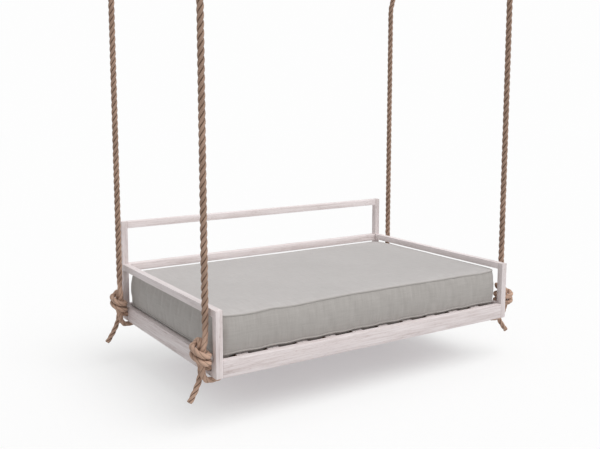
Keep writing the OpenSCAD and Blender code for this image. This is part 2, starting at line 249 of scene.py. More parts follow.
class Paint(NodeTree):
    """One procedural material round a Principled shader."""

    def __init__(self, name, fixed=None):
        self.material = bpy.data.materials.new(name)
        super().__init__(self.material)
        self.shader = self.nodes["Principled BSDF"]
        for socket, value in (fixed or {}).items():
            self.shader.inputs[socket].default_value = value

    def ramp(self, value, start, end):
        """A grey that rises from 0 at the start to 1 at the end."""
        return self.node("ValToRGB", {"stops": ((start, 0.0), (end, 1.0))}, {"Fac": value})

    def mix(self, share, a, b):
        """Colour a where share is 0, and colour b where it is 1."""
        return self.node("Mix", {"data_type": "RGBA"}, {0: share, 6: a, 7: b}, 2)

    def object_place(self, stretch=(1, 1, 1)):
        place = self.node("TexCoord", output="Object")
        return self.node("Mapping", {}, {"Vector": place, "Scale": stretch})

    def board_place(self, apart, axis, along, across):
        """Object coordinates drawn out along one axis, and moved by the board's own number."""
        place = self.object_place([along if ALONG[axis] == i else across for i in range(3)])
        return self.node("VectorMath", {"operation": "ADD"}, {0: place, 1: self.attribute("board") * apart})

    def uv_place(self, layer, stretch=(1, 1, 1)):
        place = self.node("UVMap", {"uv_map": layer})
        return self.node("Mapping", {}, {"Vector": place, "Scale": stretch})

    def attribute(self, name):
        return self.node("Attribute", {"attribute_name": name}, output="Fac")

    def noise(self, place, detail, roughness=0.5, distortion=0.0, scale=1.0):
        return self.node("TexNoise", {}, {"Vector": place, "Scale": scale, "Detail": detail,
                                          "Roughness": roughness, "Distortion": distortion})

    def finish(self, colour, roughness, height, depth, strength):
        """Feeds the shader's colour, roughness and, from a height of 0 to 1, its normal."""
        self.feed(self.shader.inputs["Base Color"], colour)
        self.feed(self.shader.inputs["Roughness"], roughness)
        bump = {"Height": height, "Distance": depth, "Strength": strength}
        self.feed(self.shader.inputs["Normal"], self.node("Bump", {}, bump, "Normal"))
        return self.material


# ---- Materials ----


def washed_timber(name, axis, wash, grain, shade=1.0, strength=1.0):
    """Pine under a thin white stain, with its grain along one axis."""
    paint = Paint(name, {"Specular IOR Level": 0.3})
    bands = paint.ramp(paint.noise(paint.board_place(17.0, axis, 1.6, 14), 5, 0.6, 1.2), 0.36, 0.66)
    lines = paint.ramp(paint.noise(paint.board_place(31.0, axis, 3.0, 150), 6, 0.62, 0.4), 0.42, 0.72)
    flecks = paint.ramp(paint.noise(paint.board_place(11.0, axis, 40.0, 480), 3), 0.56, 0.70)
    streaks = paint.ramp(paint.noise(paint.board_place(5.0, axis, 5.0, 90), 4, 0.6, 0.6), 0.56, 0.70)
    share = (bands * 0.22 + lines * 0.38 + flecks * 0.50 * (bands * 0.7 + 0.3)) * strength
    # shade gives this piece a lighter or darker copy of the stain: painted light and shade
    deep = toned(grain, shade)
    colour = paint.mix(share, toned(wash, shade), deep)
    brown = tuple(c * k for c, k in zip(deep, (0.66, 0.58, 0.54)))
    colour = paint.mix(streaks * bands * (0.42 * strength), colour, brown)
    return paint.finish(colour, lines * 0.14 + 0.58, 1.0 - (lines * 0.5 + flecks * 0.5), 0.0006, 0.55)


def bare_timber(name, axis, tone):
    """Unstained wood, as on the pieces under the slats; on the slats' sides and undersides it is also painted
    warm shade.
    """
    paint = Paint(name, {"Specular IOR Level": 0.3})
    lines = paint.noise(paint.board_place(23.0, axis, 4.0, 130), 6, 0.6, 0.5)
    bands = paint.noise(paint.board_place(7.0, axis, 1.4, 18), 4, 0.5, 0.8)
    share = paint.ramp(lines * 0.6 + bands * 0.4, 0.35, 0.68)
    colour = paint.mix(share, toned(tone, 1.28), toned(tone, 0.66))
    return paint.finish(colour, share * 0.15 + 0.6, lines, 0.0005, 0.5)


def linen(name, tone, thread, tint=1.0):
    """Plain-woven linen with thick and thin threads both ways, on a UV map in metres."""
    paint = Paint(name, {"Sheen Weight": 0.5, "Sheen Roughness": 0.4, "Specular IOR Level": 0.2})
    warp, weft, wide_warp, wide_weft, cloud = (
        paint.noise(paint.uv_place("cover", (*stretch, 1)), detail, roughness)
        for stretch, detail, roughness in (((260, 9), 4, 0.62), ((9, 260), 4, 0.62), ((60, 7), 3, 0.5),
                                           ((7, 60), 3, 0.5), ((2.2, 2.2), 3, 0.5)))
    slubs = warp * 0.5 + weft * 0.5
    broad = wide_warp * 0.5 + wide_weft * 0.5
    share = paint.ramp(slubs * 0.60 + broad * 0.25 + cloud * 0.15, 0.34, 0.68)
    colour = paint.mix(share * 0.62, toned(tone, tint), toned(thread, tint))
    threads, picks = (paint.node("TexWave", {"bands_direction": way}, {"Vector": paint.uv_place("cover"),
                                                                       "Scale": 200.0}) for way in "XY")
    return paint.finish(colour, share * 0.08 + 0.86, threads * picks * 0.5 + slubs * 0.5, 0.0007, 0.45)


def fibre_rope(name, fibre, shade):
    """Three-strand rope.

    The UV map's u counts the strands, and is whole at each groove. Its v is metres along the rope.
    """
    paint = Paint(name, {"Sheen Weight": 0.15, "Sheen Roughness": 0.5, "Specular IOR Level": 0.2})
    place = paint.node("UVMap", {"uv_map": "lay"})
    across, metres = (paint.node("SeparateXYZ", {}, {0: place}, way) for way in "XY")
    side = paint.math("ABSOLUTE", paint.math("FRACT", across) * 2.0 - 1.0)
    pressed = paint.attribute("pressed")
    # The colour darkens toward each groove between the strands: painted shade, lighter where the knot presses
    # the rope
    groove = paint.ramp(side, 0.56, 0.92) * (1.0 - pressed) + paint.ramp(side, 0.76, 0.98) * pressed
    yarn = paint.math("SINE", (across * 9.0 + metres * 52.0) * math.tau) * 0.5 + 0.5
    drawn = paint.node("CombineXYZ", {}, {0: across * 34.0 + metres * 190.0, 1: metres * 22.0 - across * 2.0})
    hairs = paint.noise(drawn, 4, 0.6)
    patches = paint.ramp(paint.noise(paint.object_place(), 4, 0.6, scale=9.0), 0.42, 0.66)
    share = groove * (0.88 - pressed * 0.24) + (1.0 - yarn) * 0.12 + paint.ramp(hairs, 0.40, 0.72) * 0.30
    colour = paint.mix(share, fibre, shade)
    rubbed = (patches * 0.32 + paint.attribute("knotted") * 0.55) * (1.0 - groove)
    colour = paint.mix(rubbed, colour, toned(fibre, 1.5))
    return paint.finish(colour, hairs * 0.1 + 0.82, yarn * 0.5 + hairs * 0.5, 0.0012, 0.7)


def tarred_twine(name, tone):
    paint = Paint(name, {"Specular IOR Level": 0.3})
    fibres = paint.noise(paint.object_place((300, 300, 1100)), 4, 0.6)
    patches = paint.noise(paint.object_place(), 3, scale=60.0)
    share = paint.ramp(fibres * 0.6 + patches * 0.4, 0.38, 0.66)
    colour = paint.mix(share, toned(tone, 1.25), toned(tone, 0.6))
    return paint.finish(colour, share * 0.15 + 0.7, fibres, 0.0005, 0.7)


def powder_coat(name, tone):
    paint = Paint(name, {"Specular IOR Level": 0.45})
    grit = paint.noise(paint.object_place(), 2, scale=2600.0)
    wear = paint.ramp(paint.noise(paint.object_place(), 6, 0.65, scale=30.0), 0.55, 0.78)
    colour = paint.mix(wear * 0.4, tone, toned(tone, 2.4))
    return paint.finish(colour, wear * 0.2 + 0.42, grit, 0.0001, 0.35)


def plated_steel(name, tone, dullness, patch_scale=55.0):
    """Zinc over steel: faint spangles and a little tarnish."""
    paint = Paint(name, {"Metallic": 1.0})
    spangle = paint.node("TexVoronoi", {}, {"Vector": paint.object_place(), "Scale": patch_scale * 3}, "Color")
    grey = paint.node("RGBToBW", {}, {0: spangle})
    tarnish = paint.noise(paint.object_place(), 5, 0.6, scale=patch_scale)
    share = grey * 0.35 + paint.ramp(tarnish, 0.4, 0.75) * 0.4
    colour = paint.mix(share, tone, toned(tone, 0.62))
    return paint.finish(colour, share * 0.16 + dullness, tarnish, 0.0002, 0.3)


def pale_studio(name, bounced, glow):
    """The floor: nearly white to the camera, and duller in the light that it throws back at the bed.

    Its shadow is washed out by a glow, less so close under the bed.
    """
    paint = Paint(name, {"Specular IOR Level": 0.0, "Roughness": 1.0})
    looked_at = paint.node("LightPath", output="Is Camera Ray")
    paint.feed(paint.shader.inputs["Base Color"], paint.mix(looked_at, bounced, WHITE))
    openness = paint.node("AmbientOcclusion", {"samples": 12}, {"Distance": 0.8}, "AO")
    open_floor = paint.ramp(openness, 0.12, 0.44)
    white = paint.node("Emission", {}, {"Color": paint.mix(open_floor, SHADE, WHITE), "Strength": 1.0})
    share = looked_at * (open_floor * 0.32 + 0.68) * glow
    mixed = paint.node("MixShader", {}, {0: share, 1: Link(paint, paint.shader.outputs[0]), 2: white})
    paint.feed(paint.nodes["Material Output"].inputs["Surface"], mixed)
    return paint.material


# ---- Meshes ----


def pick(piece):
    """Leaves one object selected and active."""
    bpy.ops.object.select_all(action="DESELECT")
    piece.select_set(True)
    bpy.context.view_layer.objects.active = piece


def name_piece(piece, name):
    piece.name = name
    piece.data.name = name
    return piece


def settle(piece):
    """Puts a piece's place, turn and size into its mesh, so that its object sits at the origin."""
    pick(piece)
    bpy.ops.object.transform_apply(location=True, rotation=True, scale=True)


def apply_modifier(piece, kind, **settings):
    pick(piece)
    modifier = piece.modifiers.new(kind.title(), kind)
    for key, value in settings.items():
        setattr(modifier, key, value)
    bpy.ops.object.modifier_apply(modifier=modifier.name)


def new_mesh(name, points, faces):
    mesh = bpy.data.meshes.new(name)
    mesh.from_pydata([tuple(p) for p in points], [], faces)
    mesh.update()
    piece = bpy.data.objects.new(name, mesh)
    bpy.context.scene.collection.objects.link(piece)
    return piece


def smooth(piece, degrees=40):
    pick(piece)
    bpy.ops.object.shade_smooth_by_angle(angle=math.radians(degrees))


def cover_with(piece, *materials):
    piece.data.materials.clear()
    for material in materials:
        piece.data.materials.append(material)


def write_attribute(piece, name, values):
    """Gives every point of a mesh its value of a named attribute."""
    attribute = piece.data.attributes.new(name, "FLOAT", "POINT")
    attribute.data.foreach_set("value", np.asarray(values, np.float32))


def turn_faces_out(piece):
    pick(piece)
    bpy.ops.object.mode_set(mode="EDIT")
    bpy.ops.mesh.select_all(action="SELECT")
    bpy.ops.mesh.normals_make_consistent(inside=False)
    bpy.ops.object.mode_set(mode="OBJECT")


def stand_for(piece, body, node):
    """Lets a piece ride on its body and take the place of a node."""
    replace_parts(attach(piece, body), node)


def uneven(*place):
    """A smooth, fixed unevenness between -1 and 1."""
    return noise.noise(Vector(place))


# ---- Curves ----


def curve_through(points, steps):
    """A smooth curve through the points, with that many steps from each one to the next."""
    p = np.array([points[0], *points, points[-1]], float)
    made = []
    for a, b, c, d in zip(p, p[1:], p[2:], p[3:]):
        for t in np.arange(steps) / steps:
            bend = (2 * a - 5 * b + 4 * c - d) * t * t + (3 * b - a - 3 * c + d) * t**3
            made.append((2 * b + (c - a) * t + bend) / 2)
    return np.array([*made, p[-1]])


def evenly(line, step):
    """The same line, with its points that far apart."""
    far = np.concatenate([[0], np.cumsum(np.linalg.norm(np.diff(line, axis=0), axis=1))])
    count = max(2, round(far[-1] / step))
    where = np.linspace(0, far[-1], count + 1)
    return np.stack([np.interp(where, far, line[:, k]) for k in range(3)], axis=1), where


def tangents_of(line, closed=False):
    if closed:
        tangents = np.roll(line, -1, axis=0) - np.roll(line, 1, axis=0)
    else:
        tangents = np.gradient(line, axis=0)
    return tangents / np.linalg.norm(tangents, axis=1)[:, None]


def frames_along(line):
    """Tangents, normals and binormals along a line, carried on from each point to the next without twist."""
    tangents = tangents_of(line)
    normal = np.array([0.3, 0.8, 0.2])
    normals = []
    for t in tangents:
        normal = normal - normal.dot(t) * t
        normal /= np.linalg.norm(normal)
        normals.append(normal)
    normals = np.array(normals)
    return tangents, normals, np.cross(tangents, normals)


def round_rings(line, ups, sides, radius, around):
    """A ring of points round each point of a line."""
    turns = np.linspace(0, math.tau, around, endpoint=False)[:, None]
    return [centre + radius * (np.cos(turns) * up + np.sin(turns) * side)
            for centre, up, side in zip(line, ups, sides)]


def grid_faces(rings, around, closed=False):
    """The faces between rings of points. Where the line is closed, the last ring joins the first."""
    faces = []
    for i in range(rings if closed else rings - 1):
        low, high = i * around, (i + 1) % rings * around
        for k in range(around):
            n = (k + 1) % around
            faces.append((low + k, low + n, high + n, high + k))
    return faces


# ---- Ropes ----

# The eye, as metres inboard of the pin and below it: the radius of its bend, and one of its sides
EYE_R = 0.046
EYE_SIDE = ((0.019, 0.140), (0.0195, 0.118), (0.024, 0.096), (0.033, 0.066), (0.042, 0.034))
# From the rope's cut end up that side, and down the other side to the straight run
EYE_LEG = ((0.019, 0.190), (0.019, 0.165), *EYE_SIDE)
EYE_THROAT = (*((-inward, down) for inward, down in reversed(EYE_SIDE)), (-0.019, 0.178), (-0.017, 0.207),
              (-0.010, 0.232), (-0.003, 0.258), (0.0, 0.300))
LEG_X = 0.019

# The knot, as metres back and outboard of the straight run, and over the underside of the seat rails
KNOT_IN = ((0.0, 0.0, 0.310), (0.0, 0.0, 0.245), (-0.003, 0.002, 0.208), (-0.012, 0.009, 0.183),
           (-0.017, 0.018, 0.157), (-0.0185, 0.0255, 0.130), (-0.0185, 0.027, 0.100), (-0.0185, 0.027, 0.075),
           (-0.017, 0.026, 0.052))
LOOP = ((-0.012, 0.023, 0.026), (-0.007, 0.013, 0.002), (-0.003, -0.003, -0.015), (0.0, -0.022, -0.019),
        (0.0, -0.042, -0.019), (0.0, -0.062, -0.018), (0.0, -0.073, -0.013), (0.0, -0.079, -0.003),
        (0.0, -0.080, 0.012), (0.0, -0.078, 0.027), (0.0, -0.071, 0.039), (0.0, -0.060, 0.044),
        (0.0, -0.042, 0.044), (0.0, -0.024, 0.044))
RISER = ((0.004, -0.008, 0.0455), (0.011, 0.006, 0.052), (0.017, 0.019, 0.062), (0.018, 0.027, 0.080),
         (0.018, 0.027, 0.105), (0.018, 0.027, 0.128), (0.017, 0.025, 0.148), (0.018, 0.021, 0.163),
         (0.027, 0.016, 0.175), (0.039, 0.015, 0.179), (0.049, 0.021, 0.173))
TAIL = ((0.052, 0.016, 0.076), (0.050, 0.009, 0.056), (0.045, 0.007, 0.032), (0.039, 0.011, 0.004),
        (0.033, 0.024, -0.030), (0.026, 0.048, -0.074), (0.018, 0.080, -0.118))
# The wraps, in degrees round the knot from first to last, and their height, pitch and tilt
WRAP_FIRST, WRAP_LAST, WRAP_STEP = 70, -590, 30
WRAP_TOP, WRAP_PITCH, WRAP_TILT, WRAP_TILT_WAY = 0.147, 0.035, 0.010, 60
# Half the distance between the wraps' two bends, the bends' radius, and how far outboard their middle is
WRAP_HALF, WRAP_R, WRAP_MID = 0.0195, 0.0327, 0.0267
# The rope thins from its straight run to its knot: the height over the rails' underside, and over what length
KNOT_TOP, KNOT_FADE = 0.250, 0.08
# The tail is loose, and the knot presses the rope over this length before it
TAIL_LENGTH, TAIL_FADE = 0.150, 0.04
STRAIGHT_STEP = 0.080
CURVE_STEPS = 10
# A strand's points, and how far its outline reaches on either side, in degrees
STRAND_POINTS, STRAND_OPENING = 9, 125.0
# How far the grooves are filled along the straight run, and how much further where the knot presses them
FILLED, PRESSED = 0.42, 0.26
# The rounded cut ends: how far out each ring lies, and its size
CAP_RINGS = ((0.0022, 0.90), (0.0034, 0.55))
TWINE_STEPS, TWINE_SIDES = 36, 8


def wrap_point(degrees):
    """One point on the wraps: 0 is outboard and 90 is back."""
    angle = math.radians(degrees)
    s = math.sin(angle)
    tilt = WRAP_TILT * math.cos(angle - math.radians(WRAP_TILT_WAY))
    height = WRAP_TOP - WRAP_PITCH * (WRAP_FIRST - degrees) / 360 + tilt
    return (WRAP_HALF * s / math.sqrt(s * s + 0.06) + WRAP_R * s, WRAP_MID + WRAP_R * math.cos(angle), height)


def rope_route(corner):
    """The whole rope, from its cut end beside the eye to its tail under the knot: back, outboard and up."""
    over = PIN_Z - UNDERSIDE
    spread = abs(PINS[corner].x) - KNOT_X
    arc = [(EYE_R * math.cos(a), -EYE_R * math.sin(a)) for a in map(math.radians, range(-10, 191, 20))]
    eye = [(0.0, spread - inward, over - down) for inward, down in (*EYE_LEG, *arc, *EYE_THROAT)]
    top = over - EYE_THROAT[-1][1]
    count = round((top - KNOT_IN[0][2]) / STRAIGHT_STEP)
    straight = [(0.0, spread, z) for z in np.linspace(top, KNOT_IN[0][2], count + 1)[1:-1]]
    knot_in = [(back, max(out, spread) if up > 0.15 else out, up) for back, out, up in KNOT_IN]
    wraps = [wrap_point(a) for a in range(WRAP_FIRST, WRAP_LAST - 1, -WRAP_STEP)]
    tail = [(back, out + spread * i / (len(TAIL) - 1), up) for i, (back, out, up) in enumerate(TAIL)]
    return [*eye, *straight, *knot_in, *LOOP, *RISER, *wraps, *tail]


def at_corner(corner, line):
    """A line given as back, outboard and up, taken to that corner of the bed."""
    line = np.asarray(line, float)
    out = CORNERS[corner][0] * (KNOT_X + line[:, 1])
    return np.stack([out, PINS[corner].y + line[:, 0], UNDERSIDE + line[:, 2]], axis=1)


def strand_section():
    """The outline of three strands in a circle of radius 1: angles, radii, and each point's place on u."""
    core = 2 / math.sqrt(3) / (1 + 2 / math.sqrt(3))
    bead = 1 - core
    turns = np.radians(np.linspace(-STRAND_OPENING, STRAND_OPENING, STRAND_POINTS))
    x, y = core + bead * np.cos(turns), bead * np.sin(turns)
    angles = np.concatenate([np.arctan2(y, x) + math.tau * k / 3 for k in range(3)])
    u = np.concatenate([k + (np.arange(STRAND_POINTS) + 0.5) / STRAND_POINTS for k in range(3)])
    return angles, np.tile(np.hypot(x, y), 3), u


def laid_rope(name, line, far, radii, lay, knotted, pressed):
    """A three-strand rope round a line, closed at both ends, with a UV map that follows the lay.

    Where it is pressed, from 0 to 1, its grooves are shallower still than along the straight run.
    """
    tangents, normals, binormals = frames_along(line)
    angles, section, u = strand_section()
    around = len(angles)
    rows = []
    for i, centre in enumerate(line):
        swelling = 1 + 0.025 * uneven(far[i] * 14, line[0][0] * 3, line[0][1] * 5)
        turn = angles + math.tau * far[i] / lay
        spokes = np.cos(turn)[:, None] * normals[i] + np.sin(turn)[:, None] * binormals[i]
        outline = section + (1 - section) * (FILLED + PRESSED * pressed[i])
        rows.append(centre + spokes * (outline * radii[i] * swelling)[:, None])
    caps = [line[end] + (rows[end] - line[end]) * size + tangents[end] * (way * out)
            for end, way in ((0, -1), (-1, 1)) for out, size in CAP_RINGS]
    rings = [caps[1], caps[0], *rows, *caps[2:]]
    tip = CAP_RINGS[-1][0]
    points = np.concatenate([*rings, [line[0] - tangents[0] * tip, line[-1] + tangents[-1] * tip]])
    faces = grid_faces(len(rings), around)
    last = (len(rings) - 1) * around
    first_cap, last_cap = len(points) - 2, len(points) - 1
    for k in range(around):
        n = (k + 1) % around
        faces.append((first_cap, n, k))
        faces.append((last_cap, last + k, last + n))
    piece = new_mesh(name, points, faces)
    for attribute, share in (("knotted", knotted), ("pressed", pressed)):
        by_ring = [share[0], share[0], *share, share[-1], share[-1]]
        write_attribute(piece, attribute, [*np.repeat(by_ring, around), share[0], share[-1]])
    metres = [far[0] - 0.003, far[0] - 0.002, *far, far[-1] + 0.002, far[-1] + 0.003]
    layer = piece.data.uv_layers.new(name="lay")
    for face in piece.data.polygons:
        ks = [piece.data.loops[i].vertex_index for i in face.loop_indices]
        wraps_over = any(k % around == around - 1 for k in ks) and any(k % around == 0 for k in ks)
        for loop, k in zip(face.loop_indices, ks):
            if k >= first_cap:
                layer.data[loop].uv = (0.5, metres[0] if k == first_cap else metres[-1])
            else:
                extra = 3 if wraps_over and k % around == 0 else 0
                layer.data[loop].uv = (u[k % around] + extra, metres[k // around])
    turn_faces_out(piece)
    smooth(piece, 60)
    return piece


def wound_twine(name, corner, wraps, material):
    """Twine wound round both legs of a rope's eye, side by side, on the place of the plain sleeve."""
    low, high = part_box(f"seizing_{corner}")
    centre = (low + high) / 2
    thread = (high.z - low.z) / (wraps + 1.0)
    radius = (high.x - low.x) / 2 - LEG_X - thread / 2
    path = []
    for i in range(wraps * TWINE_STEPS + 1):
        angle = math.tau * i / TWINE_STEPS
        s = math.cos(angle)
        x = LEG_X * s / math.sqrt(s * s + 0.02) + radius * s
        z = high.z - thread * (0.5 + i / TWINE_STEPS)
        path.append((centre.x + x, centre.y + radius * math.sin(angle), z))
    line = np.array(path)
    rings = round_rings(line, *frames_along(line)[1:], thread * 0.5, TWINE_SIDES)
    count = len(rings) * TWINE_SIDES
    ends = [tuple(range(TWINE_SIDES - 1, -1, -1)), tuple(range(count - TWINE_SIDES, count))]
    piece = new_mesh(name, np.concatenate(rings), grid_faces(len(rings), TWINE_SIDES) + ends)
    turn_faces_out(piece)
    smooth(piece, 50)
    cover_with(piece, material)
    return piece


class SWINGBED_OT_ropes(bpy.types.Operator):
    """Lay the four ropes with their eyes, knots and tails, and wind twine round the eyes"""

    bl_idname = "swingbed.ropes"
    bl_label = "Ropes"

    def execute(self, context):
        rope = context.scene.swingbed_rope
        wraps = context.scene.swingbed_hangers.wraps
        material = fibre_rope("natural_fibre_rope", rope.fibre, rope.shade)
        twine = tarred_twine("tarred_twine", rope.twine)
        for corner in CORNERS:
            route = curve_through(at_corner(corner, rope_route(corner)), CURVE_STEPS)
            line, far = evenly(route, rope.step)
            down = np.clip((KNOT_TOP + KNOT_FADE / 2 - (line[:, 2] - UNDERSIDE)) / KNOT_FADE, 0, 1)
            in_knot = down * down * (3 - 2 * down)
            radii = (rope.diameter - (rope.diameter - rope.knot_diameter) * in_knot) / 2
            before_tail = np.clip((far[-1] - TAIL_LENGTH - far) / TAIL_FADE, 0, 1)
            name = f"laid_rope_{corner}"
            piece = laid_rope(name, line, far, radii, rope.lay, in_knot, in_knot * before_tail)
            cover_with(piece, material)
            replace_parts(piece, f"rope_{corner}", f"knot_{corner}")
            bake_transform(piece)
            tie = wound_twine(f"eye_twine_{corner}", corner, wraps, twine)
            stand_for(tie, f"rope_{corner}", f"seizing_{corner}")
        return {"FINISHED"}


# ---- Timber ----

# The distance between the cuts along a board, and how near its ends its faces dip less
CUT_STEP, END_FADE = 0.05, 0.02
# The slats' edges are rounded less than the frame's
SLAT_EDGE = 0.8
# The frame's timber by the start of a node's name, where the first fit counts: the grain's axis, a factor that
# makes the stain lighter or darker, and how strongly its grain shows. The factor is painted light and shade,
# set to how light falls on each piece
FINISHES = {
    "arm_left": ("y", 0.95, 0.5),
    "arm_right": ("y", 1.10, 0.5),
    "back_rail": ("x", 1.13, 0.8),
    "seat_rail_front": ("x", 1.0, 1.0),
    "seat_rail_back": ("x", 1.0, 1.0),
    "seat_rail": ("y", 1.0, 1.0),
    "post_front_right": ("z", 0.98, 1.0),
    "post": ("z", 1.05, 1.0),
}
DRILLED = ("seat_rail_left", "seat_rail_right")
SLATS = sorted((node for node in frame["nodes"] if node.startswith("slat_") and node[5:].isdigit()),
               key=lambda node: int(node[5:]))


def board(name, node, axis, number, edge, wobble):
    """One length of timber in a node's place, with rounded edges and faces that dip a little."""
    low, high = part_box(node)
    bpy.ops.object.select_all(action="DESELECT")
    bpy.ops.mesh.primitive_cube_add(size=1, location=(low + high) / 2, scale=high - low)
    piece = name_piece(bpy.context.object, name)
    settle(piece)
    way = Vector([1.0 if ALONG[axis] == i else 0.0 for i in range(3)])
    cuts = max(3, round((high - low).dot(way) / CUT_STEP))
    bpy.ops.object.mode_set(mode="EDIT")
    bpy.ops.mesh.select_mode(type="EDGE")
    bpy.ops.mesh.select_all(action="SELECT")
    bpy.ops.mesh.bevel(offset=edge, segments=3, affect="EDGES")
    for i in range(1, cuts):
        place = low + (high - low).dot(way) * i / cuts * way
        bpy.ops.mesh.select_all(action="SELECT")
        bpy.ops.mesh.bisect(plane_co=place, plane_no=way)
    bpy.ops.object.mode_set(mode="OBJECT")
    middle = (low + high) / 2
    for vertex in piece.data.vertices:
        inward = middle - vertex.co
        inward -= inward.dot(way) * way
        from_end = min((vertex.co - low).dot(way), (high - vertex.co).dot(way))
        dip = wobble * (0.5 + 0.5 * uneven(*(vertex.co * 9 + Vector((number * 3.1, 0, 0)))))
        dip *= min(1, from_end / END_FADE)
        vertex.co += Vector([math.copysign(dip, c) if abs(c) > dip else 0.0 for c in inward])
    write_attribute(piece, "board", [number] * len(piece.data.vertices))
    return piece


def drill(piece, places, radius, length):
    """Cuts a round hole along X at each place."""
    for place in places:
        bpy.ops.object.select_all(action="DESELECT")
        bpy.ops.mesh.primitive_cylinder_add(vertices=48, radius=radius, depth=length, location=place,
                                            rotation=(0, math.pi / 2, 0))
        cutter = bpy.context.object
        apply_modifier(piece, "BOOLEAN", operation="DIFFERENCE", solver="EXACT", object=cutter)
        bpy.data.objects.remove(cutter)


class SWINGBED_OT_timber(bpy.types.Operator):
    """Make the posts, seat rails, arms and back rails in washed pine"""

    bl_idname = "swingbed.timber"
    bl_label = "Timber"

    def execute(self, context):
        timber = context.scene.swingbed_timber
        pines = {kind: washed_timber(f"washed_pine_{kind}", axis, timber.wash, timber.grain, *look)
                 for kind, (axis, *look) in FINISHES.items()}
        boards = [*(f"post_{corner}" for corner in CORNERS),
                  *(f"seat_rail_{side}" for side in ("front", "back", "left", "right")),
                  "arm_left", "arm_right", "back_rail_top", "back_rail_lower"]
        for number, node in enumerate(boards):
            kind = next(kind for kind in FINISHES if node.startswith(kind))
            piece = board(f"washed_{node}", node, FINISHES[kind][0], number, timber.edge, timber.wobble)
            if node in DRILLED:
                low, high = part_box(node)
                places = [((low.x + high.x) / 2, PINS[end].y, BORE_Z) for end in ("front_left", "back_left")]
                drill(piece, places, BORE_R, 0.06)
            cover_with(piece, pines[kind])
            smooth(piece, 35)
            stand_for(piece, "bed", node)
        return {"FINISHED"}


class SWINGBED_OT_slats(bpy.types.Operator):
    """Make the slats, and finish the ledgers and the beam under them"""

    bl_idname = "swingbed.slats"
    bl_label = "Slats"

    def execute(self, context):
        timber = context.scene.swingbed_timber
        top = washed_timber("washed_slat", "y", timber.wash, timber.grain, 0.93)
        side = bare_timber("brown_slat_side_shade", "y", timber.bare)
        bare = bare_timber("bare_bearer", "x", timber.bearer)
        boards = [(node, f"washed_{node}", "y", i + 20, "slat_timber", top, side)
                  for i, node in enumerate(SLATS)]
        boards += [(node, f"bare_{node}", "x", i + 40, "timber", bare)
                   for i, node in enumerate(("ledger_front", "ledger_back", "centre_beam"))]
        for node, name, axis, number, slot, *materials in boards:
            piece = board(name, node, axis, number, timber.edge * SLAT_EDGE, timber.wobble)
            cover_with(piece, *materials)
            # Faces that don't face up take the brown: partly painted shade on the slats' sides and undersides
            for face in piece.data.polygons:
                face.material_index = 1 if len(materials) > 1 and face.normal.z <= 0.5 else 0
            smooth(piece, 35)
            stand_for(piece, "bed", node)
        return {"FINISHED"}


# ---- Mattress ----

# Cells of the cover's mesh along the mattress, across it and up its sides
CELLS = (120, 78, 14)
# The height of the lower seam over the base
LOWER_SEAM = 0.012
# How far the sides bow out, how far the top is crowned, and how far in from its edge the crown is reached
SWELL, CROWN, CROWN_REACH = 0.012, 0.004, 0.12
# How much more the two ends swell than the long sides
END_SWELL = 0.35
# How far the lower edges of the ends are squeezed out, and up to which share of the height
END_FOOT, FOOT_TOP = 0.011, 0.3
# How far the lower edge is rounded: in and up at the base, and up at the lower piping
LOWER_IN, LOWER_UP, LOWER_SEAM_UP = 0.006, 0.003, 0.003
# How near the sides, and up to which share of the height, the cover counts as its lower edge
EDGE_BAND, LOWER_BAND = 0.03, 0.08
# How far the underside hangs down between the slats, and the share of that just over it
SAG, SAG_ABOVE = 0.013, 0.25
# How much lower the top lies along the back edge, and how far in from the edges it dips
BACK_DIP, DIP_REACH = 0.007, 0.16
# How far the top piping lies over or under its level, at shares of the length along the front edge
FRONT_DIPS = ((0.0, 0.002), (0.03, -0.001), (0.07, -0.005), (0.11, -0.004), (0.155, 0.0015), (0.20, -0.0045),
              (0.24, -0.005), (0.31, 0.001), (0.42, 0.003), (0.55, 0.003), (0.70, 0.001), (0.85, -0.002),
              (0.93, -0.006), (1.0, -0.001))
# The cover's cloth while it swells, the frames it takes, and the cap on how far a point moves
CLOTH = {
    "quality": 5,
    "mass": 0.25,
    "tension_stiffness": 12,
    "compression_stiffness": 12,
    "shear_stiffness": 6,
    "bending_stiffness": 0.8,
    "use_pressure": True,
    "uniform_pressure_force": 4,
    "vertex_group_mass": "held",
    "shrink_min": -0.012,
}
FRAMES, SWELL_CAP = 20, 0.007
# The piping's sides, how far it stands out of its seam, and the distance between its rings
PIPE_SIDES, PIPE_OUT, PIPE_STEP = 10, 0.0015, 0.012


def rounded(a, b, half_a, half_b, corner):
    """A point of a rectangle, moved so that the rectangle's corners become quarter circles."""
    over_a, over_b = abs(a) - (half_a - corner), abs(b) - (half_b - corner)
    if over_a <= 0 or over_b <= 0:
        return a, b
    p, q = over_a / corner, over_b / corner
    round_a = corner * p * math.sqrt(1 - q * q / 2)
    round_b = corner * q * math.sqrt(1 - p * p / 2)
    return math.copysign(half_a - corner + round_a, a), math.copysign(half_b - corner + round_b, b)


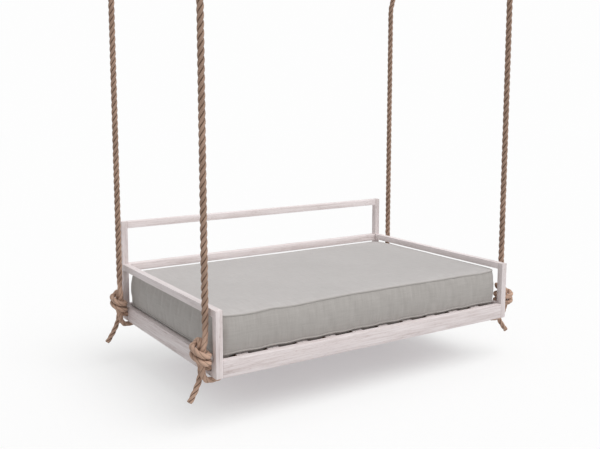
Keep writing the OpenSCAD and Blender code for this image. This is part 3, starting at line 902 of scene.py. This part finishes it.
def cover_shell(name, centre, half_x, half_y, base, top, corner):
    """A closed box of square cells with round upright corners, a UV map in metres, and its rings of points."""
    nx, ny, nz = CELLS
    index, points = {}, []

    def point(i, j, k):
        key = (i, j, k)
        if key not in index:
            a, b = rounded((2 * i / nx - 1) * half_x, (2 * j / ny - 1) * half_y, half_x, half_y, corner)
            index[key] = len(points)
            points.append((centre.x + a, centre.y + b, base + (top - base) * k / nz))
        return index[key]

    faces, uvs = [], []
    step_x, step_y, step_z = 2 * half_x / nx, 2 * half_y / ny, (top - base) / nz
    top_and_underside = ((nz, 0, ((0, 0), (1, 0), (1, 1), (0, 1))), (0, 5, ((0, 1), (1, 1), (1, 0), (0, 0))))
    for i in range(nx):
        for j in range(ny):
            for k, apart, cell in top_and_underside:
                faces.append([point(i + a, j + b, k) for a, b in cell])
                uvs.append([((i + a) * step_x, apart + (j + b) * step_y) for a, b in cell])
    rim = [(i, 0) for i in range(nx)] + [(nx, j) for j in range(ny)]
    rim += [(nx - i, ny - j) for i, j in rim]
    along = np.cumsum([0] + ([step_x] * nx + [step_y] * ny) * 2)
    for r, (i, j) in enumerate(rim):
        m, n = rim[(r + 1) % len(rim)]
        for k in range(nz):
            faces.append([point(i, j, k), point(m, n, k), point(m, n, k + 1), point(i, j, k + 1)])
            uvs.append([(along[r + a], 9 + (k + b) * step_z) for a, b in ((0, 0), (1, 0), (1, 1), (0, 1))])
    piece = new_mesh(name, points, faces)
    layer = piece.data.uv_layers.new(name="cover")
    layer.data.foreach_set("uv", np.array(uvs, np.float32).ravel())
    rings = [[point(i, j, k) for i, j in rim] for k in range(nz + 1)]
    return piece, rings


def blow_up(piece, held, cap):
    """Lets the cover swell as cloth under a little air, holds its seams, and caps how far a point may move."""
    before = np.array([v.co for v in piece.data.vertices])
    piece.vertex_groups.new(name="held").add(held, 1.0, "REPLACE")
    cloth = piece.modifiers.new("Cloth", "CLOTH")
    for key, value in CLOTH.items():
        setattr(cloth.settings, key, value)
    cloth.settings.effector_weights.gravity = 0
    cloth.collision_settings.use_collision = False
    cloth.point_cache.frame_start, cloth.point_cache.frame_end = 1, FRAMES
    for i in range(1, FRAMES + 1):
        bpy.context.scene.frame_set(i)
    pick(piece)
    bpy.ops.object.modifier_apply(modifier=cloth.name)
    bpy.context.scene.frame_set(1)
    move = np.array([v.co for v in piece.data.vertices]) - before
    far = np.linalg.norm(move, axis=1)
    keep = np.where(far > 1e-9, cap * np.tanh(far / cap) / np.maximum(far, 1e-9), 1.0)
    piece.data.vertices.foreach_set("co", (before + move * keep[:, None]).astype(np.float32).ravel())
    piece.vertex_groups.clear()
    piece.data.update()


def gaps_between_slats():
    """Where the gaps between the side rails and the slats begin and end along X."""
    slats = sorted((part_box(node) for node in SLATS), key=lambda box: box[0].x)
    starts = [RAIL_INSIDE, *(high.x for _, high in slats)]
    return list(zip(starts, [*(low.x for low, _ in slats), -RAIL_INSIDE]))


def hang(x, gaps):
    """The share of its full sag that the underside has there: none on a slat, all of it midway between two.

    Beside the side rails, all of it is at the mattress's own edge.
    """
    for start, end in gaps:
        if start < x < end:
            share = (x - start) / (end - start)
            if start == gaps[0][0]:
                share = 0.5 + share / 2
            elif end == gaps[-1][1]:
                share = share / 2
            return math.sin(math.pi * share) ** 0.7
    return 0.0


def shape_cover(piece, centre, half_x, half_y, base, top):
    """Sets the seams in, bows the sides out between them and crowns the top."""
    gaps = gaps_between_slats()
    for vertex in piece.data.vertices:
        a, b, h = vertex.co.x - centre.x, vertex.co.y - centre.y, (vertex.co.z - base) / (top - base)
        from_x, from_y = half_x - abs(a), half_y - abs(b)
        edge = min(from_x, from_y)
        bow = math.sin(math.pi * min(1, max(0, h))) ** 0.75
        if edge < EDGE_BAND and 0 < h < 1:
            out = Vector((a / half_x if from_x < from_y + EDGE_BAND else 0,
                          b / half_y if from_y < from_x + EDGE_BAND else 0, 0))
            if out.length > 0:
                out.normalize()
            ripple = 1 + 0.16 * uneven(a * 2.1, b * 2.1, 3.0)
            vertex.co += out * SWELL * bow * ripple * (1 + END_SWELL * abs(out.x))
        if edge < 0.001 and h < FOOT_TOP:
            vertex.co.x += math.copysign(END_FOOT * (1 - h / FOOT_TOP), a) if from_x < 0.02 else 0
        if edge < 0.001 and h < 0.001:
            vertex.co += Vector((a / half_x * -LOWER_IN if from_x < 0.02 else 0,
                                 b / half_y * -LOWER_IN if from_y < 0.02 else 0, LOWER_UP))
        elif edge < EDGE_BAND and 0.001 < h < LOWER_BAND:
            vertex.co.z += LOWER_SEAM_UP
        if h < LOWER_BAND:
            vertex.co.z -= SAG * hang(vertex.co.x, gaps) * (1.0 if h < 0.001 else SAG_ABOVE)
        dip = np.interp((a + half_x) / (2 * half_x), *zip(*FRONT_DIPS))
        front, back = (max(0.0, 1 - (half_y + way * b) / DIP_REACH) for way in (1, -1))
        dip = (dip * front - BACK_DIP * back) * max(0, h) ** 2
        vertex.co.z += dip + 0.0022 * uneven(a * 3.3, b * 3.3, 8.0) * max(0, h)
        if h > 0.999:
            away = min(1.0, max(0.0, edge) / CROWN_REACH)
            vertex.co.z += CROWN * (1 - (1 - away) ** 2)


def piping(name, seam, diameter, material):
    """A round cord of cloth sewn into a seam, along a closed line."""
    line = seam + np.cross(tangents_of(seam, True), [0, 0, 1]) * PIPE_OUT
    line = evenly(np.concatenate([line, line[:1]]), PIPE_STEP)[0][:-1]
    tangents = tangents_of(line, True)
    ups = np.array([0, 0, 1.0]) - tangents[:, 2:] * tangents
    ups /= np.linalg.norm(ups, axis=1)[:, None]
    rings = round_rings(line, ups, np.cross(tangents, ups), diameter / 2, PIPE_SIDES)
    piece = new_mesh(name, np.concatenate(rings), grid_faces(len(rings), PIPE_SIDES, closed=True))
    far = np.concatenate([[0], np.cumsum(np.linalg.norm(np.roll(line, -1, axis=0) - line, axis=1))])
    layer = piece.data.uv_layers.new(name="cover")
    for face in piece.data.polygons:
        i, k = divmod(face.index, PIPE_SIDES)
        for loop, (m, n) in zip(face.loop_indices, ((i, k), (i, k + 1), (i + 1, k + 1), (i + 1, k))):
            layer.data[loop].uv = (far[m], 12 + n * diameter * 0.3)
    turn_faces_out(piece)
    smooth(piece, 60)
    cover_with(piece, material)
    return piece


class SWINGBED_OT_mattress(bpy.types.Operator):
    """Sew the mattress's cover, let it swell, and lay piping along its seams"""

    bl_idname = "swingbed.mattress"
    bl_label = "Mattress"

    def execute(self, context):
        bed = context.scene.swingbed_mattress
        low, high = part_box("mattress")
        centre = (low + high) / 2
        half_x, half_y = bed.length / 2, bed.width / 2
        base = low.z
        top = base + LOWER_SEAM + bed.thickness
        cloth = linen("grey_linen", bed.linen, bed.thread, 1.04)
        # A paler copy of the linen for the top: painted light
        lit_top_cloth = linen("grey_linen_lit_top", bed.lit_top_linen, bed.lit_top_thread)
        welt = linen("grey_linen_piping", bed.linen, bed.thread, 1.02)
        cover, rings = cover_shell("mattress_cover", centre, half_x, half_y, base, top, bed.corner)
        shape_cover(cover, centre, half_x, half_y, base, top)
        held = {*rings[0], *rings[1], *rings[-1]}
        held |= {v.index for v in cover.data.vertices if v.co.z < base + 0.001}
        blow_up(cover, sorted(held), SWELL_CAP)
        apply_modifier(cover, "SUBSURF", levels=1, render_levels=1)
        smooth(cover, 60)
        cover_with(cover, cloth, lit_top_cloth)
        # Up-facing faces at the top take the paler copy: painted light on the top
        for face in cover.data.polygons:
            face.material_index = 1 if face.normal.z > 0.6 and face.center.z > top - 0.02 else 0
        stand_for(cover, "bed", "mattress")
        for name, ring in (("top_piping", rings[-1]), ("lower_piping", rings[1])):
            seam = np.array([cover.data.vertices[i].co for i in ring])
            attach(piping(name, seam, bed.piping, welt), "bed")
        return {"FINISHED"}


# ---- Hangers and fasteners ----


def dress(name, node, body, edge, material):
    """Puts a copy in place of a node, with its triangles merged into whole faces and its edges rounded."""
    piece = bpy.data.objects.new(name, frame["nodes"][node].data.copy())
    piece.data.name = name
    bpy.context.scene.collection.objects.link(piece)
    pick(piece)
    bpy.ops.object.mode_set(mode="EDIT")
    bpy.ops.mesh.select_all(action="SELECT")
    bpy.ops.mesh.remove_doubles(threshold=0.00001)
    bpy.ops.mesh.dissolve_limited(angle_limit=math.radians(1))
    bpy.ops.object.mode_set(mode="OBJECT")
    apply_modifier(piece, "BEVEL", width=edge, segments=2, limit_method="ANGLE", angle_limit=math.radians(40))
    smooth(piece, 35)
    cover_with(piece, material)
    stand_for(piece, body, node)


class SWINGBED_OT_hangers(bpy.types.Operator):
    """Finish the ceiling hangers, links, pins and thimbles, and the screws and dowels of the bed"""

    bl_idname = "swingbed.hangers"
    bl_label = "Hangers and fasteners"

    def execute(self, context):
        hangers = context.scene.swingbed_hangers
        black = powder_coat("black_powder_coat", hangers.black)
        zinc = plated_steel("zinc_plate", hangers.zinc, 0.32)
        dull = plated_steel("galvanised_steel", hangers.galvanised, 0.46, 90.0)
        screw = plated_steel("screw_steel", hangers.zinc, 0.38, 200.0)
        parts = []
        for corner in CORNERS:
            link = f"link_{corner}"
            parts += [(f"steel_plate_{corner}", f"hanger_plate_{corner}", "hangers", "black_steel", black),
                      (f"steel_link_{corner}", link, link, "black_steel", black),
                      (f"steel_pin_{corner}", f"link_pin_{corner}", link, "bolt_steel", zinc)]
            cover_with(frame["nodes"][f"thimble_{corner}"], dull)
        parts += [("steel_bolts", "hanger_bolts", "hangers", "bolt_steel", zinc),
                  ("steel_nuts", "hanger_nuts", "hangers", "bolt_steel", zinc)]
        for name, node, body, slot, material in parts:
            dress(name, node, body, hangers.edge, material)
        for node in ("slat_screws", "ledger_screws"):
            cover_with(frame["nodes"][node], screw)
        cover_with(frame["nodes"]["dowels"], bare_timber("beech_dowel", "x", linear(196, 164, 128)))
        return {"FINISHED"}


# ---- Stage ----


class SWINGBED_OT_stage(bpy.types.Operator):
    """Set up the camera, the pale floor and the soft studio light"""

    bl_idname = "swingbed.stage"
    bl_label = "Stage"

    def execute(self, context):
        scene = context.scene
        stage = scene.swingbed_stage
        scene.view_settings.view_transform = "Standard"
        bpy.ops.object.select_all(action="DESELECT")
        turn = [math.radians(a) for a in CAMERA_TURN]
        bpy.ops.object.camera_add(location=CAMERA_AT, rotation=turn)
        camera = context.object
        camera.name = "photo_camera"
        camera.data.sensor_width = SENSOR
        camera.data.lens = CAMERA_LENS
        camera.data.shift_y = CAMERA_SHIFT
        camera.data.clip_start, camera.data.clip_end = 0.05, 100
        scene.camera = camera
        bpy.ops.mesh.primitive_plane_add(size=60, location=(0, 0, UNDERSIDE - stage.floor_gap))
        floor = name_piece(context.object, "studio_floor")
        settle(floor)
        cover_with(floor, pale_studio("studio_floor", BOUNCED, stage.glow))
        self.light_world(scene, EVEN_LIGHT * stage.fill)
        bpy.ops.object.light_add(type="SUN", location=(0, 0, 3))
        lamp = context.object
        lamp.name = "key_lamp"
        lamp.data.angle = math.radians(LAMP_SPREAD)
        lamp.data.energy = LAMP_STRENGTH * stage.key
        lamp.rotation_euler = (math.radians(90 - LAMP_HEIGHT), 0, math.radians(LAMP_TURN))
        return {"FINISHED"}

    def light_world(self, scene, strength):
        """Even light all round, and plain white where the camera or a reflection sees past the floor."""
        scene.world = bpy.data.worlds.new("studio")
        tree = NodeTree(scene.world)
        even = tree.nodes["Background"]
        tree.feed(even.inputs["Color"], (1, 1, 1))
        tree.feed(even.inputs["Strength"], strength)
        white = tree.node("Background", {}, {"Color": WHITE})
        rays = [tree.node("LightPath", output=f"Is {ray} Ray") for ray in ("Camera", "Glossy", "Transmission")]
        seen = tree.math("MAXIMUM", tree.math("MAXIMUM", rays[0], rays[1]), rays[2])
        mixed = tree.node("MixShader", {}, {0: seen, 1: Link(tree, even.outputs[0]), 2: white})
        tree.feed(tree.nodes["World Output"].inputs["Surface"], mixed)


# ---- Add-on ----


class SWINGBED_PT_panel(bpy.types.Panel):
    """Lists the steps and the settings of the swing bed"""

    bl_idname = "SWINGBED_PT_panel"
    bl_label = "Swing Bed"
    bl_space_type = "VIEW_3D"
    bl_region_type = "UI"
    bl_category = "Swing Bed"

    def draw(self, context):
        for group in SETTINGS:
            box = self.layout.box()
            settings = getattr(context.scene, group)
            for name in settings.bl_rna.properties.keys():
                if name not in ("rna_type", "name"):
                    box.prop(settings, name)
        for operator in OPERATORS:
            self.layout.operator(operator.bl_idname)


SETTINGS = {
    "swingbed_timber": SwingBedTimber,
    "swingbed_rope": SwingBedRope,
    "swingbed_mattress": SwingBedMattress,
    "swingbed_hangers": SwingBedHangers,
    "swingbed_stage": SwingBedStage,
}
OPERATORS = (
    SWINGBED_OT_stage,
    SWINGBED_OT_ropes,
    SWINGBED_OT_timber,
    SWINGBED_OT_slats,
    SWINGBED_OT_mattress,
    SWINGBED_OT_hangers,
)


def register():
    for group, settings in SETTINGS.items():
        bpy.utils.register_class(settings)
        setattr(bpy.types.Scene, group, PointerProperty(type=settings))
    for operator in OPERATORS:
        bpy.utils.register_class(operator)
    bpy.utils.register_class(SWINGBED_PT_panel)


def unregister():
    bpy.utils.unregister_class(SWINGBED_PT_panel)
    for operator in reversed(OPERATORS):
        bpy.utils.unregister_class(operator)
    for group, settings in SETTINGS.items():
        delattr(bpy.types.Scene, group)
        bpy.utils.unregister_class(settings)


def main():
    register()
    bpy.ops.swingbed.stage()
    bpy.ops.swingbed.ropes()
    bpy.ops.swingbed.timber()
    bpy.ops.swingbed.slats()
    bpy.ops.swingbed.mattress()
    bpy.ops.swingbed.hangers()


if __name__ == "__main__":
    main()
